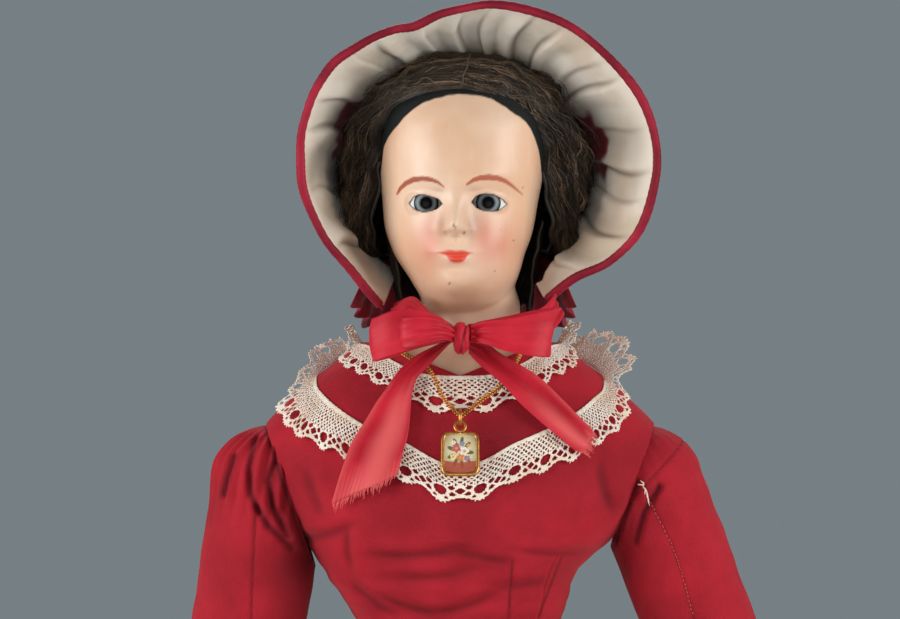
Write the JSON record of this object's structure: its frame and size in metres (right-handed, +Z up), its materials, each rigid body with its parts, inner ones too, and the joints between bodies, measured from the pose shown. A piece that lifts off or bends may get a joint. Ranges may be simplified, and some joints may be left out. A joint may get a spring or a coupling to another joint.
{
  "type": "papier-mache doll",
  "caption": "Papier-mache shoulder-head doll with glass eyes and a wig, in a long red dress with lace, a tied silk bonnet and a pendant; its arms and legs bend.",
  "frame": {"origin": "on the floor, midway between the slippers, at the middle of the round hem", "axes": "+Z up along the standing doll, -Y the way the face looks, +X to the doll's own left hand"},
  "size_m": [0.3572, 0.3572, 0.6403],
  "materials": {
    "dress_wool": "matt woven wool",
    "bonnet_silk": "silk with a low sheen",
    "ribbon_silk": "silk ribbon with a soft sheen",
    "lining_silk": "aged cream silk",
    "white_cotton": "unbleached cotton",
    "stocking_knit": "fine knit",
    "lace_thread": "ivory bobbin lace",
    "painted_paper": "oil painted and varnished, semi-gloss",
    "eye_glass": "polished, opaque",
    "eye_plaster": "matt plaster",
    "hair_strands": "human hair, low sheen",
    "gilt_metal": "worn gilt",
    "plaque_enamel": "painted enamel",
    "kid_leather": "soft pale kid",
    "slipper_leather": "thin black leather",
    "sole_leather": "plain undyed leather"
  },
  "bodies": {
    "torso": {"shoulder_head": "painted_paper", "right_eye": "eye_glass", "left_eye": "eye_glass", "eye_plaster": "eye_plaster", "hair_right": "hair_strands", "hair_left": "hair_strands", "hair_knot": "hair_strands", "bonnet_brim": "bonnet_silk", "bonnet_rim_cord": "bonnet_silk", "bonnet_crown": "bonnet_silk", "bonnet_crown_tip": "bonnet_silk", "bonnet_curtain": "bonnet_silk", "bonnet_lining": "lining_silk", "ribbon_knot": "ribbon_silk", "ribbon_loop_right": "ribbon_silk", "ribbon_loop_left": "ribbon_silk", "ribbon_tie_right": "ribbon_silk", "ribbon_tie_left": "ribbon_silk", "ribbon_tail_right": "ribbon_silk", "ribbon_tail_left": "ribbon_silk", "necklace_chain": "gilt_metal", "neck_lace": "lace_thread", "bertha_lace": "lace_thread", "bodice_front": "dress_wool", "bodice_back_right": "dress_wool", "bodice_back_left": "dress_wool", "back_button_1": "dress_wool", "back_button_2": "dress_wool", "back_button_3": "dress_wool", "back_button_4": "dress_wool", "back_button_5": "dress_wool", "waistband": "dress_wool", "skirt": "dress_wool", "torso": "white_cotton", "petticoat": "white_cotton"},
    "right_arm": {"right_sleeve_upper": "dress_wool", "right_upper_arm": "white_cotton"},
    "right_forearm": {"right_sleeve_lower": "dress_wool", "right_cuff": "dress_wool", "right_forearm": "kid_leather"},
    "right_thigh": {"right_thigh": "white_cotton"},
    "right_lower_leg": {"right_shin": "stocking_knit", "right_slipper": "slipper_leather", "right_sole": "sole_leather"},
    "left_arm": {"left_sleeve_upper": "dress_wool", "left_upper_arm": "white_cotton"},
    "left_forearm": {"left_sleeve_lower": "dress_wool", "left_cuff": "dress_wool", "left_forearm": "kid_leather"},
    "left_thigh": {"left_thigh": "white_cotton"},
    "left_lower_leg": {"left_shin": "stocking_knit", "left_slipper": "slipper_leather", "left_sole": "sole_leather"},
    "pendant": {"pendant_ring": "gilt_metal", "pendant_frame": "gilt_metal", "pendant_plaque": "plaque_enamel"}
  },
  "joints": [
    {"name": "right_shoulder", "type": "hinge", "parent": "torso", "child": "right_arm", "pos_m": [-0.076, 0, 0.446], "axis": [-0.9511, 0, -0.309], "range_deg": [-20, 65]},
    {"name": "left_shoulder", "type": "hinge", "parent": "torso", "child": "left_arm", "pos_m": [0.076, 0, 0.446], "axis": [-0.9511, 0, 0.309], "range_deg": [-20, 65]},
    {"name": "right_elbow", "type": "hinge", "parent": "right_arm", "child": "right_forearm", "pos_m": [-0.09133, 0, 0.34921], "axis": [-0.9397, 0, 0.342], "range_deg": [0, 55]},
    {"name": "left_elbow", "type": "hinge", "parent": "left_arm", "child": "left_forearm", "pos_m": [0.10952, 0, 0.35391], "axis": [-0.9397, 0, -0.342], "range_deg": [0, 55]},
    {"name": "right_hip", "type": "hinge", "parent": "torso", "child": "right_thigh", "pos_m": [-0.028, 0, 0.33], "axis": [-1, 0, 0], "range_deg": [-8, 18]},
    {"name": "left_hip", "type": "hinge", "parent": "torso", "child": "left_thigh", "pos_m": [0.028, 0, 0.33], "axis": [-1, 0, 0], "range_deg": [-8, 18]},
    {"name": "right_knee", "type": "hinge", "parent": "right_thigh", "child": "right_lower_leg", "pos_m": [-0.028, 0, 0.172], "axis": [1, 0, 0], "range_deg": [0, 28]},
    {"name": "left_knee", "type": "hinge", "parent": "left_thigh", "child": "left_lower_leg", "pos_m": [0.028, 0, 0.172], "axis": [1, 0, 0], "range_deg": [0, 28]},
    {"name": "pendant_swing", "type": "hinge", "parent": "torso", "child": "pendant", "pos_m": [0, -0.03924, 0.474], "axis": [-1, 0, 0], "range_deg": [0, 45]}
  ]
}
